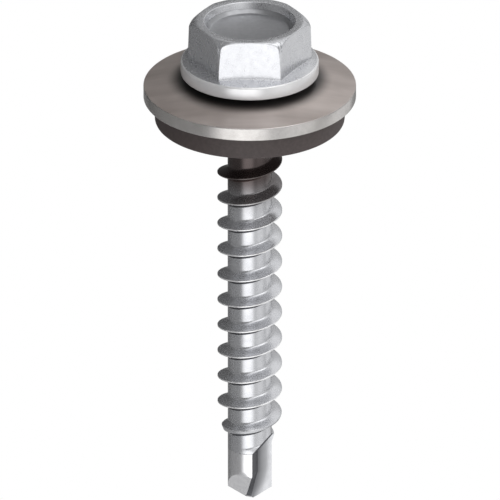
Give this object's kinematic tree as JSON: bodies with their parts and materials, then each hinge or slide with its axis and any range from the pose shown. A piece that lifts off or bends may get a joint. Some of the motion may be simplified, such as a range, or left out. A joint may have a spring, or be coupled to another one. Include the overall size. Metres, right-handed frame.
{
  "type": "self drilling screw",
  "caption": "Self drilling roofing screw with a recessed hexagon flange head, a captive rubber-backed sealing washer, a coarse thread and a fluted drill point.",
  "frame": {"origin": "centre of the head's end face, on the screw's axis", "axes": "+Z along the screw's axis from the head to the drill point, Y square to two flats of the hexagon; the picture is taken from -Y with -Z up and +X to the left"},
  "size_m": [0.0159, 0.0158, 0.0397],
  "materials": {
    "stainless_steel": "cold formed stainless steel, bright and slightly dull",
    "hardened_steel": "hardened and plated carbon steel, bright",
    "washer_steel": "rolled stainless sheet, satin",
    "rubber": "moulded rubber, dull dark grey brown"
  },
  "bodies": {
    "screw": {"screw_body": "stainless_steel", "drill_point": "hardened_steel"},
    "washer": {"washer_plate": "washer_steel", "sealing_ring": "rubber"}
  },
  "joints": [
    {"name": "washer_spin", "type": "hinge", "parent": "screw", "child": "washer", "pos_m": [0, 0, 0.00522], "axis": [0, 0, 1], "continuous": true}
  ]
}
